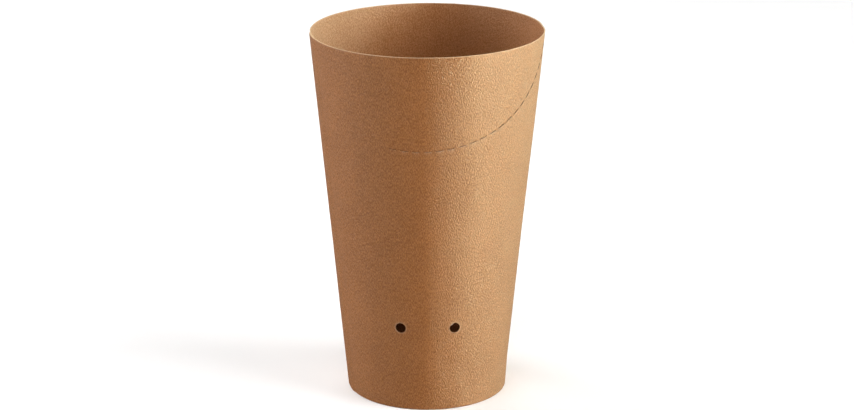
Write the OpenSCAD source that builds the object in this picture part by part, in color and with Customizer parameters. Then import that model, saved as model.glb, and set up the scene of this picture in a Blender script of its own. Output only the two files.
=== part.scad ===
// Kraft board snack cup without a rolled rim.
// One conical side sheet is rolled, lapped and glued, and its lower edge is folded in and up
// round the skirt of a pressed base. The front carries two vent holes and a perforated tear line.
// The origin is the middle of the foot, on the surface that the cup stands on. The front looks
// towards -Y and +Z is up. A turn is given in degrees from the front, and grows towards +X.

/* [Cup] */
// Outer diameter of the rim
rim_d = 82.6; // [74:0.1:92]
// Outer diameter of the foot
foot_d = 56.9; // [50:0.1:64]
// Height of the cup
cup_h = 132.3; // [105:0.1:160]

/* [Board] */
// Thickness of the side sheet
sheet_t = 0.4; // [0.3:0.01:0.6]
// Thickness of the board of the base
base_t = 0.3; // [0.2:0.01:0.5]
// Glue line between two layers of board
glue_t = 0.03; // [0.01:0.01:0.08]

/* [Side seam] */
// Turn of the middle of the lap
seam_turn = -78.5; // [-180:0.5:-60]
// Width of the lap between the two edges of the side sheet
lap_w = 8; // [5:0.5:12]
// How far the pressed lap is thinner than two layers
lap_press = 0.04; // [0.02:0.01:0.1]
// Width over which the outer layer comes down from the lap to the plain wall
lap_blend_w = 3; // [2:0.1:4]

/* [Foot] */
// Height of the sheet's lower edge, folded up inside the foot
flap_h = 6; // [4:0.1:9]
// Room between the folded edge and the bend of the base above it
flap_room = 0.6; // [0.3:0.1:2]
// Outer radius of the fold that the cup stands on
fold_r = 0.4; // [0.2:0.01:0.5]
// Outer radius of the bend between the base's floor and its skirt
base_bend_r = 0.7; // [0.55:0.01:1.2]

/* [Vent holes] */
// Diameter of a vent hole
vent_d = 3.8; // [2.5:0.1:5]
// Distance between the two vent holes
vent_pitch = 19; // [8:0.5:26]
// Height of the vent holes
vent_z = 31.8; // [15:0.1:60]
// Turn of the middle between the vent holes
vent_turn = 0.5; // [-10:0.5:10]

/* [Tear line] */
// Radius of the tear line on the flat sheet
tear_r = 87; // [70:1:140]
// Depth of the tear line's lowest point below the rim, on the flat sheet
tear_drop = 34.0; // [20:0.1:45]
// Turn of the lowest point
tear_turn = -4; // [-10:0.1:10]
// Length of one cut
cut_l = 3.2; // [2:0.1:5]
// Length of board left between two cuts
tie_l = 0.84; // [0.5:0.02:2]
// Distance along the tear line from its lowest point to the middle of the nearest cut
cut_shift = -1.1; // [-2:0.1:2]
// Width of a cut
cut_w = 0.16; // [0.1:0.01:0.3]

/* [Hidden] */
kraft_outside = "#b98a5b";
kraft_base = "#a97a4e";
round_steps = 180;
hole_steps = 48;
bend_steps = 6;
// Room that a cutting solid takes past what it cuts
spare = 1;

rim_r = rim_d / 2;
foot_r = foot_d / 2;
wall_slope = (rim_r - foot_r) / cup_h;
wall_lean = atan(wall_slope);

// The fold holds the outer layer, the skirt of the base and the folded edge
fold_w = 2 * sheet_t + base_t + 2 * glue_t;
skirt_depth = sheet_t + glue_t;
// The floor of the base lies above the folded edge and the inside of its own bend
base_bend_in = base_bend_r - base_t;
recess_h = flap_h + flap_room + base_bend_in;

// The outer layer stands lap_step proud at its free edge. Past the edge that lies under it, it
// comes down to the plain wall on a flat slope, which is set out on the foot, where it is longest.
lap_step = sheet_t - lap_press;
lap_edge = lap_w / 2;
lap_end = lap_edge + lap_blend_w;
lap_slope = atan((sag(foot_r, lap_end) - sag(foot_r, lap_edge) + lap_step) / lap_blend_w);
lap_slope_lean = atan((sag(foot_r, lap_edge) - sag(rim_r, lap_edge)) / cup_h);

// On the flat sheet the rim and the foot are arcs round one point, the tip of the cone
tip_to_rim = rim_r / sin(wall_lean);
tip_to_tear_centre = tip_to_rim - tear_drop + tear_r;
tear_half_angle = acos(
    (tip_to_tear_centre ^ 2 + tear_r ^ 2 - tip_to_rim ^ 2) / (2 * tip_to_tear_centre * tear_r)
);
tear_half_l = tear_r * tear_half_angle * PI / 180;
cut_pitch = cut_l + tie_l;
cuts_each_side = ceil(tear_half_l / cut_pitch);
// The cuts stop half a tie short of the rim, and where the outer layer comes down from the lap
last_cut = tear_half_l - (cut_l + tie_l) / 2;
first_cut_turn = seam_turn + asin((lap_end + cut_l / 2) / rim_r);

// Radius at height z of the face that lies depth below the outside of the wall
function layer_r(z, depth) = foot_r + z * wall_slope - depth / cos(wall_lean);

function layer_point(z, depth) = [layer_r(z, depth), z];

// Fall of a circle of radius r below its tangent, at the distance x to the side
function sag(r, x) = r - sqrt(r ^ 2 - x ^ 2);

function unit(v) = v / norm(v);

// Points of an arc of radius r that rounds the corner between two straight stretches
function bend(before, corner, after, r) =
    let (
        u = unit(before - corner),
        v = unit(after - corner),
        half = acos(u * v) / 2,
        centre = corner + unit(u + v) * r / sin(half),
        from = corner + u * r / tan(half) - centre,
        to = corner + v * r / tan(half) - centre
    )
    [for (i = [0:bend_steps]) centre + r * unit(from + (to - from) * i / bend_steps)];

// Angle round the tip of the cone of a point at the angle a round the tear line's centre
function tear_tip_angle(a) = atan2(tear_r * sin(a), tip_to_tear_centre - tear_r * cos(a));

function tear_tip_distance(a) = norm([tear_r * sin(a), tip_to_tear_centre - tear_r * cos(a)]);

function tear_point_turn(a) = tear_turn + tear_tip_angle(a) / sin(wall_lean);

function tear_point_z(a) = cup_h - (tip_to_rim - tear_tip_distance(a)) * cos(wall_lean);

// Section of the side sheet from the rim down to the floor of the fold
module wall_section() {
    rim = layer_point(cup_h, 0);
    toe = layer_point(0, 0);
    floor_end = layer_point(0, 2 * sheet_t);
    polygon(concat(
        [rim],
        bend(rim, toe, floor_end, fold_r),
        [
            floor_end,
            layer_point(sheet_t, 2 * sheet_t),
            layer_point(sheet_t, sheet_t),
            layer_point(cup_h, sheet_t)
        ]
    ));
}

// Section of the fold's floor and of the edge that stands up inside the foot
module flap_section() {
    floor_start = layer_point(0, sheet_t / 2);
    heel = layer_point(0, fold_w);
    flap_top = layer_point(flap_h, fold_w);
    polygon(concat(
        [layer_point(sheet_t, sheet_t / 2), floor_start],
        bend(floor_start, heel, flap_top, fold_r),
        [
            flap_top,
            layer_point(flap_h, fold_w - sheet_t),
            layer_point(sheet_t, fold_w - sheet_t)
        ]
    ));
}

// Section of half the base: floor, bend and skirt, with the skirt seated in the fold
module base_section() {
    skirt_z = sheet_t + glue_t;
    floor_z = recess_h + base_t;
    skirt_in = skirt_depth + base_t;
    top_mid = [0, floor_z];
    top_corner = layer_point(floor_z, skirt_depth);
    skirt_toe = layer_point(skirt_z, skirt_depth);
    skirt_heel = layer_point(skirt_z, skirt_in);
    under_corner = layer_point(recess_h, skirt_in);
    under_mid = [0, recess_h];
    polygon(concat(
        [top_mid],
        bend(top_mid, top_corner, skirt_toe, base_bend_r),
        [skirt_toe, skirt_heel],
        bend(skirt_heel, under_corner, under_mid, base_bend_in),
        [under_mid]
    ));
}

// Section of the outer layer, which stands proud of the plain wall and reaches down into it
module outer_layer_section() {
    rim = layer_point(cup_h, -lap_step);
    toe = layer_point(0, -lap_step);
    floor_end = layer_point(0, 2 * sheet_t);
    polygon(concat(
        [rim],
        bend(rim, toe, floor_end, fold_r),
        [
            floor_end,
            layer_point(sheet_t, sheet_t / 2),
            layer_point(cup_h, sheet_t / 2)
        ]
    ));
}

// Places a cutting block along the edge under the lap, sloping as the outer layer does there
module on_lap_slope(depth) {
    on_wall(seam_turn, 0)
        translate([lap_edge, sag(foot_r, lap_edge) + depth, 0])
            rotate([lap_slope_lean, 0, 0])
                rotate([0, 0, lap_slope])
                    children();
}

// The outer layer of the lap, from its free edge to where it meets the plain wall
module outer_layer() {
    length = lap_edge + lap_end + spare / 2;
    difference() {
        intersection() {
            rotate_extrude($fn = round_steps)
                outer_layer_section();
            rotate([0, 0, seam_turn])
                translate([-lap_edge, -rim_d, -spare])
                    cube([length, rim_d, cup_h + 2 * spare]);
        }
        on_lap_slope(-lap_step)
            translate([0, -spare, -spare])
                cube([length, spare, cup_h + 3 * spare]);
    }
}

// The side sheet all round. Inside, it ends in a step where the edge under the lap stops.
module rolled_sheet() {
    difference() {
        union() {
            rotate_extrude($fn = round_steps)
                wall_section();
            outer_layer();
        }
        on_lap_slope(sheet_t - lap_step)
            translate([0, 0, spare])
                cube([lap_blend_w + spare / 2, spare, cup_h + spare]);
    }
}

module folded_edge() {
    rotate_extrude($fn = round_steps)
        flap_section();
}

// Places a cutting solid on the outside of the wall, square to it
module on_wall(turn, z) {
    rotate([0, 0, turn])
        translate([0, -layer_r(z, 0), z])
            rotate([wall_lean, 0, 0])
                children();
}

module vent_holes() {
    half_turn = asin(vent_pitch / 2 / layer_r(vent_z, 0));
    for (side = [-1, 1]) {
        on_wall(vent_turn + side * half_turn, vent_z)
            rotate([90, 0, 0])
                cylinder(d = vent_d, h = 4 * sheet_t + 2 * spare, center = true, $fn = hole_steps);
    }
}

module tear_cuts() {
    for (i = [-cuts_each_side:cuts_each_side]) {
        place = cut_shift + i * cut_pitch;
        a = place / tear_r * 180 / PI;
        if (abs(place) < last_cut && tear_point_turn(a) > first_cut_turn) {
            on_wall(tear_point_turn(a), tear_point_z(a))
                rotate([0, -a - tear_tip_angle(a), 0])
                    cube([cut_l, 4 * sheet_t + spare, cut_w], center = true);
        }
    }
}

module side_wall() {
    color(kraft_outside)
        difference() {
            union() {
                rolled_sheet();
                folded_edge();
            }
            vent_holes();
            tear_cuts();
        }
}

module base() {
    color(kraft_base)
        rotate_extrude($fn = round_steps)
            base_section();
}

side_wall();
base();
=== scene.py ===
"""Looks of a kraft board snack cup: its rolled side sheet, its pressed base, and the light and camera.

Sizes are in millimetres and turns in degrees from the front, growing towards +X, unless a name says
otherwise. Meshes are made in metres, in the frame of the solids.
"""

import logging
import math
import random
from dataclasses import dataclass, field
from enum import Enum

import bpy
import numpy as np
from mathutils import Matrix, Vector, geometry, noise

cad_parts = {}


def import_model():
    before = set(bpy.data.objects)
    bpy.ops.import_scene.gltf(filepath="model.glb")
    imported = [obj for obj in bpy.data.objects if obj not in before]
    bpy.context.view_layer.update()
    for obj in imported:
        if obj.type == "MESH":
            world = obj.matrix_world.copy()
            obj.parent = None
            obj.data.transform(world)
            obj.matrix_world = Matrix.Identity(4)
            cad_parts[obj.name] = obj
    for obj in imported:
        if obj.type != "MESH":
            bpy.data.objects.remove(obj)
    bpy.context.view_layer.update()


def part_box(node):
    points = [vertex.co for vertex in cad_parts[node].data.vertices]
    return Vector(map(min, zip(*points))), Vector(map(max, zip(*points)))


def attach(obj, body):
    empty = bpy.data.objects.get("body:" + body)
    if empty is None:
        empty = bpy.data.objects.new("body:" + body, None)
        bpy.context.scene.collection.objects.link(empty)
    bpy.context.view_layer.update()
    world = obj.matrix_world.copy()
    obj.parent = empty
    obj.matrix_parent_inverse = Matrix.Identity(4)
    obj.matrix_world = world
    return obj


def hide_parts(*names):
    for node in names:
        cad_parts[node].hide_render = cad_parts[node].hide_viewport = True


MM = 0.001
BOARD_UV = "board"
TINY = 1e-6
LOG = logging.getLogger("snack_cup")

Array = np.ndarray
Color = tuple[float, float, float]


class Side(Enum):
    """Surfaces of the board that take a finish of their own."""

    OUTSIDE = 0
    INSIDE = 1
    CUT = 2
    # Walls of the vent holes and knife cuts take a near-black finish that paints the shade inside them.
    SHADED_CUT_WALL = 3


class Edge(Enum):
    """Edges of the blank, as its points are marked. Vents and knife cuts count on from their first."""

    RIM = 1
    UNDER_LAP = 2
    FOLDED = 3
    FREE = 4
    VENT = 5
    KNIFE = 10


def unit(v: Array) -> Array:
    """Returns v with the length one."""
    return v / np.linalg.norm(v)


def smooth_step(x: Array) -> Array:
    """Returns the smooth rise from 0 to 1 of x between 0 and 1."""
    t = np.clip(x, 0.0, 1.0)
    return t * t * (3.0 - 2.0 * t)


def bend(before: Array, corner: Array, after: Array, radius: float, steps: int = 6) -> Array:
    """Rounds the corner between two straight stretches of a section.

    Args:
        before: A point on the stretch that leads to the corner.
        corner: The sharp corner.
        after: A point on the stretch that leaves the corner.
        radius: Radius of the bend.
        steps: Number of steps along the bend.

    Returns:
        The points of the bend, one a row.
    """
    u = unit(before - corner)
    v = unit(after - corner)
    half = math.acos(float(np.dot(u, v))) / 2
    centre = corner + unit(u + v) * radius / math.sin(half)
    start = corner + u * radius / math.tan(half) - centre
    end = corner + v * radius / math.tan(half) - centre
    return np.array([centre + radius * unit(start + (end - start) * i / steps) for i in range(steps + 1)])


def on_circle(r: Array, turn: Array, z: Array) -> Array:
    """Returns the points at the radius r, at the turn in radians and at the height z."""
    return np.stack([r * np.sin(turn), -r * np.cos(turn), z], -1)


def smooth_noise(points: Array, seed: float) -> Array:
    """Samples smooth noise.

    Args:
        points: Points, one a row, in units of the noise's own grain.
        seed: Shift that makes the noise differ from other noise.

    Returns:
        A value from about -1 to 1 for each point.
    """
    return np.array([noise.noise(Vector((p[0] + seed, p[1] - seed, p[2]))) for p in points])


@dataclass(frozen=True)
class CupForm:
    """Sizes of the cup, as its solids have them.

    The rim and the height come from the frame. A sheet coordinate, s, is the distance down the
    side sheet from the rim, and goes on round the fold and up the folded edge.
    """

    rim_r: float
    height: float
    foot_r: float = 28.45
    sheet_t: float = 0.4
    base_t: float = 0.3
    glue_t: float = 0.03
    flap_h: float = 6.0
    flap_room: float = 0.6
    fold_r: float = 0.4
    base_bend_r: float = 0.7
    seam_turn: float = -78.5
    lap_w: float = 8.0
    lap_press: float = 0.04
    lap_blend_w: float = 3.0

    @classmethod
    def from_frame(cls) -> "CupForm":
        """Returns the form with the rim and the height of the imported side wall."""
        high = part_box("side_wall")[1]
        return cls(rim_r=high.y / MM, height=high.z / MM)

    @property
    def slope(self) -> float:
        """Returns how much the wall widens per millimetre of height."""
        return (self.rim_r - self.foot_r) / self.height

    @property
    def lean(self) -> float:
        """Returns the lean of the wall, in radians."""
        return math.atan(self.slope)

    @property
    def tip_to_rim(self) -> float:
        """Returns the distance on the flat sheet from the tip of the cone to the rim."""
        return self.rim_r / math.sin(self.lean)

    @property
    def fold_w(self) -> float:
        """Returns the width of the fold that holds the skirt of the base."""
        return 2 * self.sheet_t + self.base_t + 2 * self.glue_t

    @property
    def base_bend_in(self) -> float:
        """Returns the inner radius of the bend of the base."""
        return self.base_bend_r - self.base_t

    @property
    def recess_h(self) -> float:
        """Returns the height of the underside of the base."""
        return self.flap_h + self.flap_room + self.base_bend_in

    @property
    def lap_step(self) -> float:
        """Returns how far the outer layer of the lap stands proud."""
        return self.sheet_t - self.lap_press

    def layer_r(self, z: Array, depth: Array) -> Array:
        """Returns the radius at the height z of the face that lies depth below the outside."""
        return self.foot_r + z * self.slope - depth / math.cos(self.lean)

    def layer_point(self, z: float, depth: float) -> Array:
        """Returns the point (radius, height) of layer_r."""
        return np.array([self.layer_r(z, depth), z])

    def edge_turn(self, s: Array, side: int) -> Array:
        """Finds the turn of an edge of the side sheet, a straight line beside the seam.

        Args:
            s: Sheet coordinates.
            side: -1 for the free edge outside, +1 for the edge under the lap.

        Returns:
            Turns in radians.
        """
        z = np.clip(self.height - s * math.cos(self.lean), 0.0, self.height)
        return math.radians(self.seam_turn) + side * np.arcsin(self.lap_w / 2 / self.layer_r(z, 0.0))

    def flat(self, turn: Array, s: Array) -> Array:
        """Lays points of the rolled sheet out flat, with the tip of the cone at the origin.

        Args:
            turn: Turns in radians.
            s: Sheet coordinates.

        Returns:
            Points (x, y), one a row.
        """
        rho = self.tip_to_rim - s
        fan = turn * math.sin(self.lean)
        return np.stack([rho * np.sin(fan), -rho * np.cos(fan)], -1)

    def rolled(self, points: Array) -> tuple[Array, Array]:
        """Returns the turn in radians and the sheet coordinate of points of the flat sheet."""
        turn = np.arctan2(points[:, 0], -points[:, 1]) / math.sin(self.lean)
        return turn, self.tip_to_rim - np.hypot(points[:, 0], points[:, 1])


@dataclass(frozen=True)
class HandFeel:
    """How far the formed cup is from a true cone, in millimetres."""

    rim_tilt: float = 0.15
    rim_tilt_turn: float = 80.0
    oval: float = 0.12
    oval_turn: float = -35.0
    seam_flat: float = 0.25
    seam_flat_turn: float = 10.0
    waist: float = 0.3
    waist_turn: float = 90.0
    waist_z: float = 78.0
    waist_reach: float = 42.0
    waist_range: tuple[float, float] = (-0.5, 0.9)
    foot_flare: float = 0.25
    foot_flare_h: float = 12.0
    dent: float = 0.3
    dent_turn: float = 97.0
    dent_spread: float = 7.0
    dent_from: float = 0.88
    sway: float = 0.05
    sway_l: float = 22.0
    sway_from: float = 15.0
    sway_seed: float = 4.7

    def shift(self, turn: Array, z: Array, form: CupForm) -> tuple[Array, Array]:
        """Finds how far points of the cup stand from the true cone.

        Args:
            turn: Turns in radians.
            z: Heights.
            form: The cup's sizes.

        Returns:
            Shifts of the radius and of the height.
        """
        up = np.clip(z / form.height, 0.0, 1.0)
        oval = self.oval * up * np.cos(2 * (turn - math.radians(self.oval_turn)))
        right = np.clip(np.cos(turn - math.radians(self.waist_turn)), 0.0, 1.0)
        waist = self.waist * right * np.clip((z - self.waist_z) / self.waist_reach, *self.waist_range)
        flare = self.foot_flare * right * smooth_step(1.0 - z / self.foot_flare_h)
        flat = self.seam_flat * self.hump(turn, form.seam_turn, self.seam_flat_turn)
        dent = self.dent * self.hump(turn, self.dent_turn, self.dent_spread)
        dent *= smooth_step((up - self.dent_from) / (1.0 - self.dent_from))
        place = on_circle(form.layer_r(z, 0.0), turn, z) / self.sway_l
        sway = self.sway * smooth_noise(place, self.sway_seed) * smooth_step(z / self.sway_from)
        rise = self.rim_tilt * up * np.cos(turn - math.radians(self.rim_tilt_turn))
        return oval + waist + flare - flat - dent + sway, rise * smooth_step(up)

    @staticmethod
    def hump(turn: Array, middle: float, spread: float) -> Array:
        """Returns a smooth hump round the cup, with its middle and its spread in degrees."""
        away = np.mod(turn - math.radians(middle) + math.pi, 2 * math.pi) - math.pi
        return np.exp(-((away / math.radians(spread)) ** 2))


@dataclass(frozen=True)
class TearLine:
    """The perforated line, an arc on the flat sheet with cuts and ties in turn.

    A place on it is (p, q): p along the line from its lowest point, and q across it, towards the rim.
    """

    form: CupForm
    radius: float = 87.0
    drop: float = 34.0
    turn: float = -4.0
    cut_l: float = 3.2
    tie_l: float = 0.84
    shift: float = -1.1
    shut_w: float = 0.05
    open_w: float = 0.24
    opens_from: float = -26.0
    open_at: float = -8.0
    lower_lip: float = 0.11
    upper_lip: float = -0.05
    lip_w: float = 0.4
    # The paler lower lip (fraying and painted highlight) spreads over pale_w; the painted shade on the
    # upper lip spreads over dark_w.
    pale_w: float = 0.34
    dark_w: float = 0.1
    groove: float = 0.02
    ragged: float = 0.4

    @property
    def pitch(self) -> float:
        """Returns the length of one cut and one tie."""
        return self.cut_l + self.tie_l

    @property
    def fan(self) -> float:
        """Returns the angle of the lowest point round the tip of the flat sheet, in radians."""
        return math.radians(self.turn) * math.sin(self.form.lean)

    @property
    def tip_to_centre(self) -> float:
        """Returns the distance on the flat sheet from the tip of the cone to the middle of the arc."""
        return self.form.tip_to_rim - self.drop + self.radius

    @property
    def centre(self) -> Array:
        """Returns the middle of the arc on the flat sheet."""
        return self.tip_to_centre * np.array([math.sin(self.fan), -math.cos(self.fan)])

    @property
    def half_l(self) -> float:
        """Returns the length of the line from its lowest point to the rim."""
        sides = self.tip_to_centre**2 + self.radius**2 - self.form.tip_to_rim**2
        return self.radius * math.acos(sides / (2 * self.tip_to_centre * self.radius))

    def flat(self, p: Array, q: Array) -> Array:
        """Lays out places on the line.

        Args:
            p: Places along the line.
            q: Distances across it.

        Returns:
            Points of the flat sheet, one a row.
        """
        a = np.asarray(p) / self.radius
        reach = self.radius - np.asarray(q)
        x = reach * np.sin(a)
        y = reach * np.cos(a)
        turned_x = x * math.cos(self.fan) - y * math.sin(self.fan)
        turned_y = x * math.sin(self.fan) + y * math.cos(self.fan)
        return self.centre + np.stack([turned_x, turned_y], -1)

    def along(self, points: Array) -> tuple[Array, Array]:
        """Finds where points lie on the line.

        Args:
            points: Points of the flat sheet.

        Returns:
            Places along the line and distances across it.
        """
        x, y = (points - self.centre).T
        back_x = x * math.cos(self.fan) + y * math.sin(self.fan)
        back_y = y * math.cos(self.fan) - x * math.sin(self.fan)
        return np.arctan2(back_x, back_y) * self.radius, self.radius - np.hypot(back_x, back_y)

    def cuts(self) -> list[float]:
        """Sets out the cuts as the solid has them.

        Returns:
            The places along the line of the middles of the cuts.
        """
        form = self.form
        lap_end = form.lap_w / 2 + form.lap_blend_w
        first_turn = math.radians(form.seam_turn) + math.asin((lap_end + self.cut_l / 2) / form.rim_r)
        last = self.half_l - self.pitch / 2
        count = math.ceil(self.half_l / self.pitch)
        places = [self.shift + i * self.pitch for i in range(-count, count + 1)]
        kept = np.array([p for p in places if abs(p) < last])
        turns = form.rolled(self.flat(kept, np.zeros(len(kept))))[0]
        return [float(p) for p in kept[turns > first_turn]]

    def openness(self, p: Array) -> Array:
        """Returns how far a cut at the place p stands open, from 0 to 1."""
        turn = np.degrees(self.form.rolled(self.flat(np.atleast_1d(p), np.zeros(np.size(p))))[0])
        return smooth_step((turn - self.opens_from) / (self.open_at - self.opens_from))

    def cut_width(self, p: float) -> float:
        """Returns the width of the cut whose middle is at the place p."""
        return self.shut_w + (self.open_w - self.shut_w) * float(self.openness(np.array([p]))[0])

    def cut_loop(self, p: float, steps: int = 8) -> Array:
        """Outlines one cut as a thin leaf.

        Args:
            p: Place of the middle of the cut.
            steps: Number of steps along each long side.

        Returns:
            Points of the flat sheet, in order round the cut.
        """
        k = np.arange(2 * steps) * math.pi / steps
        return self.flat(p - np.cos(k) * self.cut_l / 2, np.sin(k) * self.cut_width(p) / 2)

    def relief(self, points: Array) -> tuple[Array, Array]:
        """Finds how the knife has shaped the board beside the line.

        Args:
            points: Points of the flat sheet.

        Returns:
            Heights above the plain board, and the paint mark of each point: up to 1 where the lower lip is
            paler, for fraying and as painted highlight, down to -1 where the upper lip has painted shade.
        """
        p, q = self.along(points)
        height = np.zeros(len(points))
        near = np.zeros(len(points))
        inside = np.abs(p) < self.half_l
        height -= self.groove * np.exp(-((q / self.lip_w) ** 2)) * inside
        for place in self.cuts():
            u = (p - place) / (self.cut_l / 2)
            here = (np.abs(u) < 1.0) & (np.abs(q) < 4 * self.lip_w)
            swell = np.clip(1.0 - u[here] ** 2, 0.0, 1.0) * float(self.openness(np.array([place]))[0])
            fall = np.exp(-((q[here] / self.lip_w) ** 2))
            height[here] += swell * fall * np.where(q[here] > 0, self.upper_lip, self.lower_lip)
            # Lower lip: paler, partly fraying and partly painted highlight on the raised lip; upper lip:
            # painted shade under its edge.
            pale = swell * np.exp(-np.abs(q[here]) / self.pale_w)
            dark = -swell * np.exp(-np.abs(q[here]) / self.dark_w)
            waves = np.sin(7.3 * p[here] + 2.0 * place) * np.sin(3.1 * p[here] - place)
            ragged = 1.0 - self.ragged + self.ragged * waves
            near[here] += np.where(q[here] > 0, dark, pale * ragged)
        return height, near


@dataclass(frozen=True)
class VentHoles:
    """The two punched vent holes."""

    form: CupForm
    diameter: float = 3.8
    pitch: float = 19.0
    z: float = 31.8
    turn: float = 0.5
    points: int = 56
    burr: float = 0.035
    burr_w: float = 0.35
    # A paler ring round each hole: partly fraying, partly painted highlight of the lit hole rim.
    wear_and_light: float = 0.45
    wear_w: float = 0.22

    def centres(self) -> list[Array]:
        """Sets out the two holes.

        Returns:
            The middles of the holes on the flat sheet.
        """
        s = (self.form.height - self.z) / math.cos(self.form.lean)
        half = math.asin(self.pitch / 2 / self.form.layer_r(self.z, 0.0))
        turns = [math.radians(self.turn) + side * half for side in (-1, 1)]
        return [self.form.flat(np.array([t]), np.array([s]))[0] for t in turns]

    def ring(self, centre: Array, room: float, count: int) -> Array:
        """Outlines a hole.

        Args:
            centre: Middle of the hole.
            room: Distance of the ring from the edge of the hole.
            count: Number of points.

        Returns:
            Points of the flat sheet, in order round the hole.
        """
        a = np.arange(count) * 2 * math.pi / count
        return centre + (self.diameter / 2 + room) * np.stack([np.cos(a), np.sin(a)], -1)

    def relief(self, points: Array) -> tuple[Array, Array]:
        """Finds how the punch has shaped the board round the holes.

        Args:
            points: Points of the flat sheet.

        Returns:
            Heights of the burr, and the paint mark of each point: a paler ring round each hole, partly
            fraying and partly painted highlight of the lit rim.
        """
        height = np.zeros(len(points))
        near = np.zeros(len(points))
        for centre in self.centres():
            d = np.abs(np.hypot(*(points - centre).T) - self.diameter / 2)
            height += self.burr * np.exp(-((d / self.burr_w) ** 2))
            # Paler ring: partly fraying, partly painted highlight of the lit rim.
            near = np.maximum(near, self.wear_and_light * np.exp(-d / self.wear_w))
        return height, near


@dataclass
class FlatBlank:
    """The die-cut blank of the side sheet, as a net of triangles on the flat sheet."""

    form: CupForm
    tear: TearLine
    vents: VentHoles
    rim_rows: tuple[tuple[float, int], ...] = ((0.0, 640), (0.16, 640), (0.45, 420), (0.95, 300))
    wall_from: float = 1.8
    wall_to: float = 1.2
    wall_columns: int = 208
    wall_step: float = 1.25
    lead_in: tuple[float, int] = (0.6, 320)
    lap_clear: float = 0.25
    fold_columns: int = 576
    flap_step: float = 0.5
    under_columns: int = 24
    butt_gap: float = 0.03
    line_rows: tuple[tuple[float, float], ...] = ((0.17, 0.36), (0.38, 0.45), (0.7, 0.7))
    line_room: float = 1.3
    hole_rings: tuple[float, ...] = (0.12, 0.3, 0.6, 1.0)
    hole_room: float = 1.5
    rim_room: float = 0.6
    points: Array = field(init=False)
    faces: Array = field(init=False)
    marks: Array = field(init=False)
    lap_stop: float = field(init=False)
    path_end: float = field(init=False)

    def rows(self, path_s: Array) -> list[tuple[float, int]]:
        """Sets out the rows of points across the blank.

        Args:
            path_s: Sheet coordinates of the corners of the sheet's path.

        Returns:
            The sheet coordinate and the number of columns of each row.
        """
        fold_start = path_s[1]
        rows = list(self.rim_rows)
        wall_l = fold_start - self.wall_from - self.wall_to
        count = round(wall_l / self.wall_step)
        rows += [(self.wall_from + wall_l * i / count, self.wall_columns) for i in range(count + 1)]
        rows.append((fold_start - self.lead_in[0], self.lead_in[1]))
        rows.append((fold_start - self.lap_clear, self.fold_columns))
        rows += [(float(s), self.fold_columns) for s in path_s[1:-1]]
        flap_start = float(path_s[-2])
        flap_l = float(path_s[-1]) - flap_start
        count = round(flap_l / self.flap_step)
        rows += [(flap_start + flap_l * i / count, self.fold_columns) for i in range(1, count + 1)]
        return rows

    def cut(self, path_s: Array) -> None:
        """Makes the net: rows of points, finer ones beside the cuts, and edges that it keeps.

        Args:
            path_s: Sheet coordinates of the corners of the sheet's path.
        """
        form = self.form
        rows = self.rows(path_s)
        self.lap_stop = float(path_s[1]) - self.lap_clear
        self.path_end = float(path_s[-1])
        loops: list[tuple[Array, Array]] = []
        inner: list[Array] = []
        left: list[Array] = []
        right: list[Array] = []
        turn_round = 2 * math.pi
        for s, columns in rows:
            free = float(form.edge_turn(np.array([s]), -1)[0])
            under = float(form.edge_turn(np.array([s]), 1)[0]) + turn_round
            butt = free + turn_round - self.butt_gap / form.foot_r
            end = under if s < self.lap_stop - TINY else butt
            turns = np.linspace(free, end, columns)
            row = form.flat(turns, np.full(columns, s))
            if s == rows[0][0]:
                top = row
            elif s == rows[-1][0]:
                bottom = row
            else:
                inner.append(row[1:-1])
                left.append(row[0])
                right.append(row[-1])
            if abs(s - self.lap_stop) < TINY:
                step_turns = np.linspace(under, butt, self.under_columns)[:-1]
                step = form.flat(step_turns, np.full(len(step_turns), s))
                right[-1:] = list(step) + [row[-1]]
        runs = (
            (Edge.RIM, top),
            (Edge.UNDER_LAP, right),
            (Edge.FOLDED, bottom[::-1]),
            (Edge.FREE, left[::-1]),
        )
        border = np.concatenate([run for _, run in runs])
        sides = np.concatenate([np.full(len(run), edge.value) for edge, run in runs])
        loops.append((border, sides))
        for number, place in enumerate(self.tear.cuts()):
            loop = self.tear.cut_loop(place)
            loops.append((loop, np.full(len(loop), Edge.KNIFE.value + number)))
        for number, centre in enumerate(self.vents.centres()):
            loop = self.vents.ring(centre, 0.0, self.vents.points)
            loops.append((loop, np.full(len(loop), Edge.VENT.value + number)))
        free_points = np.concatenate([self.clear(np.concatenate(inner)), self.fine_points()])
        self.weave(loops, free_points)

    def clear(self, points: Array) -> Array:
        """Makes room for the finer points at the cuts and holes.

        Args:
            points: Points of the rows.

        Returns:
            The points that stay.
        """
        p, q = self.tear.along(points)
        keep = ~((np.abs(q) < self.line_room) & (np.abs(p) < self.tear.half_l + 1.0))
        for centre in self.vents.centres():
            keep &= np.hypot(*(points - centre).T) > self.vents.diameter / 2 + self.hole_room
        return points[keep]

    def fine_points(self) -> Array:
        """Sets out the finer points along the tear line and round the vent holes.

        Returns:
            Points of the flat sheet.
        """
        parts = []
        reach = self.tear.half_l
        for q, gap in self.line_rows:
            for side in (-1, 1):
                p = np.arange(-reach, reach, gap)
                parts.append(self.tear.flat(p, np.full(len(p), side * q)))
        ties = np.array(self.tear.cuts()) + self.tear.pitch / 2
        parts.append(self.tear.flat(ties, np.zeros(len(ties))))
        line = np.concatenate(parts)
        line = line[self.form.rolled(line)[1] > self.rim_room]
        rings = [
            self.vents.ring(centre, room, self.vents.points)
            for centre in self.vents.centres()
            for room in self.hole_rings
        ]
        return np.concatenate([line] + rings)

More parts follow.
